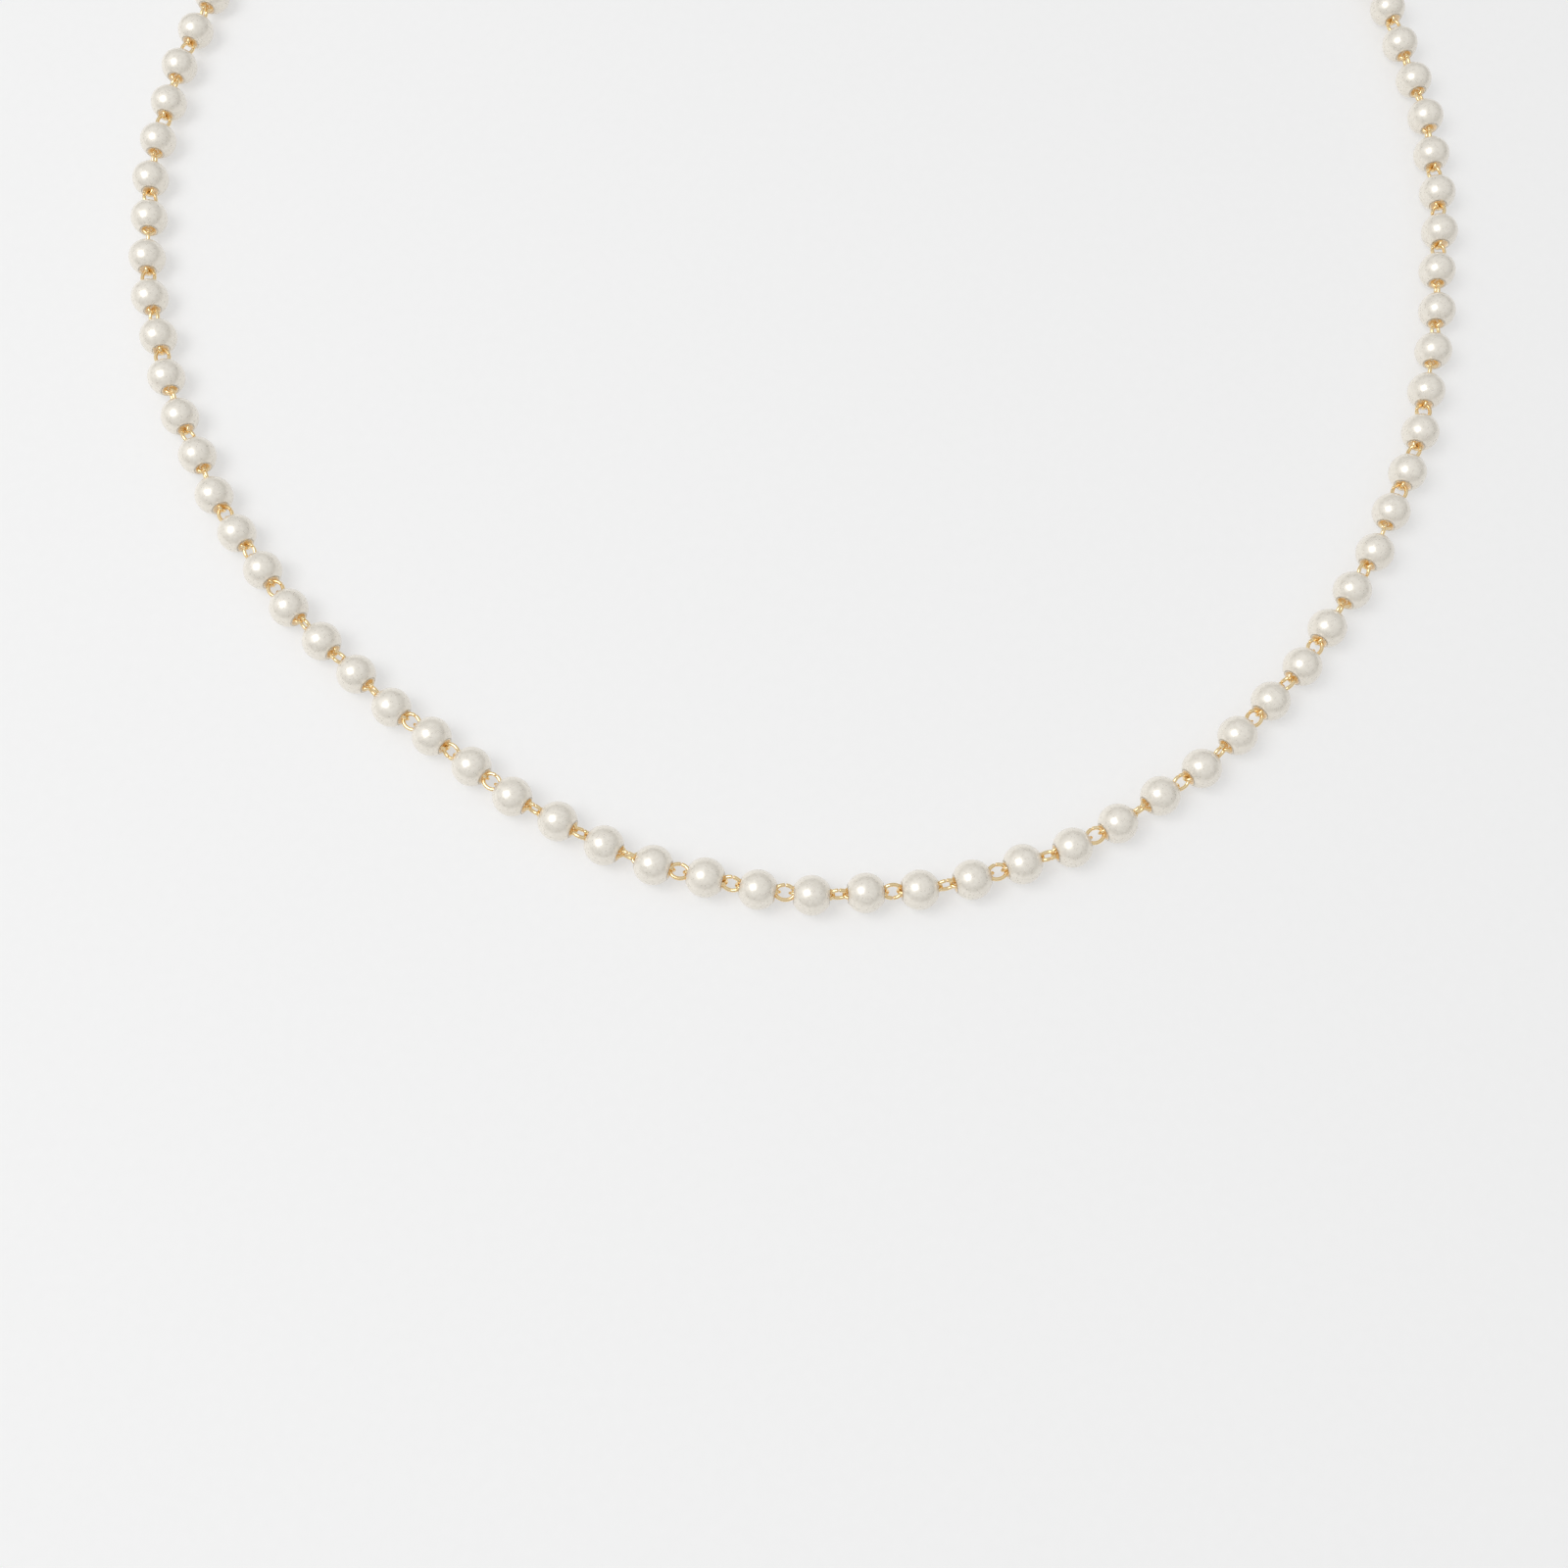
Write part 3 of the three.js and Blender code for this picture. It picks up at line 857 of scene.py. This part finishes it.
def build_clasp_body(place, pivot):
    mesh = bevelled_plate("clasp_shell", clasp_contour(), CLASP_THICKNESS, CLASP_EDGE)
    shell = mesh_object("clasp_shell", mesh, gold_look, place)
    slot = slot_shape(pivot)
    cut_out(shell, make_object("slot_tool", *slot, gold_look, place, smooth=False))
    bore = pivot_cylinder(pivot, -TOOL_REACH, TOOL_REACH, PIN_RADIUS + RIVET_PLAY, steps=24)
    cut_out(shell, make_object("bore_tool", *bore, gold_look, place))
    smooth_by_angle(shell, degrees=40)
    settle(shell, "clasp", "clasp_body")


def build_tail_eye(place):
    radius = (TAIL_EYE_WIDTH - HARDWARE_WIRE) / 2
    steps = 36
    line = []
    for i in range(steps):
        angle = 2 * math.pi * i / steps
        line.append((radius + radius * math.cos(angle), radius * math.sin(angle), 0))
    eye = swept(line, HARDWARE_WIRE / 2, sides=14, closed=True)
    add_piece("clasp_tail_eye", eye, gold_look, place, "clasp", "clasp_body")


def hub_faces():
    """The heights of the hub's lower and upper face. The spring has the room above it."""
    low = -LEVER_THICKNESS / 2
    return low, low + HUB_THICKNESS


def build_clasp_lever(place, pivot):
    contour = curved(LEVER_ARM, steps_each=4, closed=True)
    mesh = bevelled_plate("clasp_lever_arm", contour, LEVER_THICKNESS, LEVER_EDGE)
    arm = mesh_object("clasp_lever_arm", mesh, gold_look, place)
    top = hub_faces()[1]
    room = pivot_cylinder(pivot, top, TOOL_REACH, HUB_RADIUS + HUB_PLAY, steps=32)
    cut_out(arm, make_object("spring_room_tool", *room, gold_look, place))
    smooth_by_angle(arm, degrees=40)
    settle(arm, "clasp_lever", "clasp_lever")


def build_lever_hub(place, pivot):
    low, high = hub_faces()
    bore = PIN_RADIUS + PIN_PLAY
    profile = [
        (low, bore + HUB_EDGE),
        (low, HUB_RADIUS - HUB_EDGE),
        (low + HUB_EDGE, HUB_RADIUS),
        (high - HUB_EDGE, HUB_RADIUS),
        (high, HUB_RADIUS - HUB_EDGE),
        (high, bore + HUB_EDGE),
        (high - HUB_EDGE, bore),
        (low + HUB_EDGE, bore),
    ]
    hub = moved(onto_z(lathe(profile, steps=32)), pivot)
    node = "clasp_lever"
    piece = add_piece("clasp_lever_hub", hub, gold_look, place, node, node)
    smooth_by_angle(piece, degrees=50)


def build_clasp_pin(place, pivot):
    half = CLASP_THICKNESS / 2 - RIVET_SUNK
    start = [(-half + depth, PIN_RADIUS * width) for depth, width in RIVET_END]
    end = [(-x, radius) for x, radius in reversed(start)]
    pin = moved(onto_z(turned(start + end, steps=24)), pivot)
    add_piece("clasp_rivet", pin, gold_look, place, "clasp", "clasp_pivot_pin")


def build_clasp_spring(place, pivot):
    bottom = hub_faces()[1] + SPRING_WIRE / 2 + SPRING_PLAY
    steps = 28
    line = [(SPRING_RADIUS, -SPRING_LEG, bottom)]
    for i in range(steps * SPRING_TURNS + 1):
        turn = 2 * math.pi * i / steps
        height = bottom + SPRING_PITCH * i / steps
        line.append((SPRING_RADIUS * math.cos(turn), SPRING_RADIUS * math.sin(turn), height))
    line.append((SPRING_RADIUS, SPRING_LEG, bottom + SPRING_PITCH * SPRING_TURNS))
    coil = moved(swept(line, SPRING_WIRE / 2, sides=10), pivot)
    add_piece("clasp_coil", coil, steel_look, place, "clasp_lever", "clasp_spring")


# ---- The extender and its drop ----


def build_extender():
    """Each oval link, from the wire that it swings on to the wire of the next."""
    wires = [name for name in joints if name.startswith("extender_swing_")]
    wires.sort(key=lambda name: int(name.rsplit("_", 1)[1]))
    wires.append("drop_swing")
    for number in range(1, len(wires)):
        start, end = joint_at(wires[number - 1]), joint_at(wires[number])
        matrix = frame_matrix(start, end - start, joint_axis(wires[number - 1]))
        body = f"extender_link_{number}"
        add_piece(f"extender_oval_{number}", extender_link(), gold_look, matrix, body, body)


def build_drop():
    start, centre = joint_at("drop_swing"), joint_at("drop_pearl_spin")
    place = frame_matrix(start, centre - start, joint_axis("drop_swing"))
    pearl_at = (centre - start).length / MM
    add_piece("drop_head_pin", drop_pin(pearl_at), gold_look, place, "drop_pin", "drop_pin")
    there = frame_matrix(centre, centre - start, joint_axis("drop_swing"))
    add_piece("drop_bead", plain_pearl(), pearl_look, there, "drop_pearl", "drop_pearl")


# ---- Floor, light and camera ----


def build_floor():
    """A table that reaches far past the view."""
    reach = 6000
    vertices = [(-reach, -reach, 0), (reach, -reach, 0), (reach, reach, 0), (-reach, reach, 0)]
    table = floor_material()
    floor = make_object("floor", vertices, [(0, 1, 2, 3)], table, Matrix.Identity(4), smooth=False)


def area_light(name, direction, distance, size, power):
    """A square soft light that looks at the middle of the necklace's front half."""
    light = bpy.data.lights.new(name, "AREA")
    light.shape = "SQUARE"
    light.size = size
    light.energy = power
    lamp = bpy.data.objects.new(name, light)
    heading = Vector(direction).normalized()
    target = Vector((0, -0.05, 0))
    lamp.location = target + heading * distance
    lamp.rotation_euler = heading.to_track_quat("Z", "Y").to_euler()
    bpy.context.scene.collection.objects.link(lamp)


def build_world():
    """A grey room, bright overhead and darker at the horizon."""
    world = bpy.data.worlds.new("studio")
    world.use_nodes = True
    nodes, links = world.node_tree.nodes, world.node_tree.links
    split = nodes.new("ShaderNodeSeparateXYZ")
    links.new(nodes.new("ShaderNodeTexCoord").outputs["Generated"], split.inputs["Vector"])
    room = ramp(nodes, links, split.outputs["Z"], [(0.1, ROOM_LOW), (0.75, ROOM_HIGH)])
    links.new(room, nodes["Background"].inputs["Color"])
    bpy.context.scene.world = world


def build_light():
    build_world()
    bpy.context.scene.view_settings.view_transform = "Standard"
    area_light("softbox", (-0.45, -0.12, 0.87), distance=0.6, size=0.33, power=1.12)
    area_light("side_card", (-1, 0.1, 0.5), distance=0.9, size=0.8, power=0.55)


def build_camera():
    """Looks down at the front half of the necklace, as the photograph does."""
    target = Vector((0.70, -80.67, 2.0)) * MM
    distance = 200 * MM
    elevation = math.radians(68.85)
    roll = math.radians(1.72)
    data = bpy.data.cameras.new("camera")
    data.sensor_width = 36
    data.lens = 45.98
    data.clip_start = 0.005
    data.clip_end = 30
    camera = bpy.data.objects.new("camera", data)
    back = Vector((0, -math.cos(elevation), math.sin(elevation)))
    turn = back.to_track_quat("Z", "Y").to_matrix().to_4x4()
    place = Matrix.Translation(target + back * distance)
    camera.matrix_world = place @ turn @ Matrix.Rotation(roll, 4, "Z")
    bpy.context.scene.collection.objects.link(camera)
    bpy.context.scene.camera = camera


build_camera()
build_light()
build_floor()
build_pearls()
build_rings()
build_clasp()
build_extender()
build_drop()
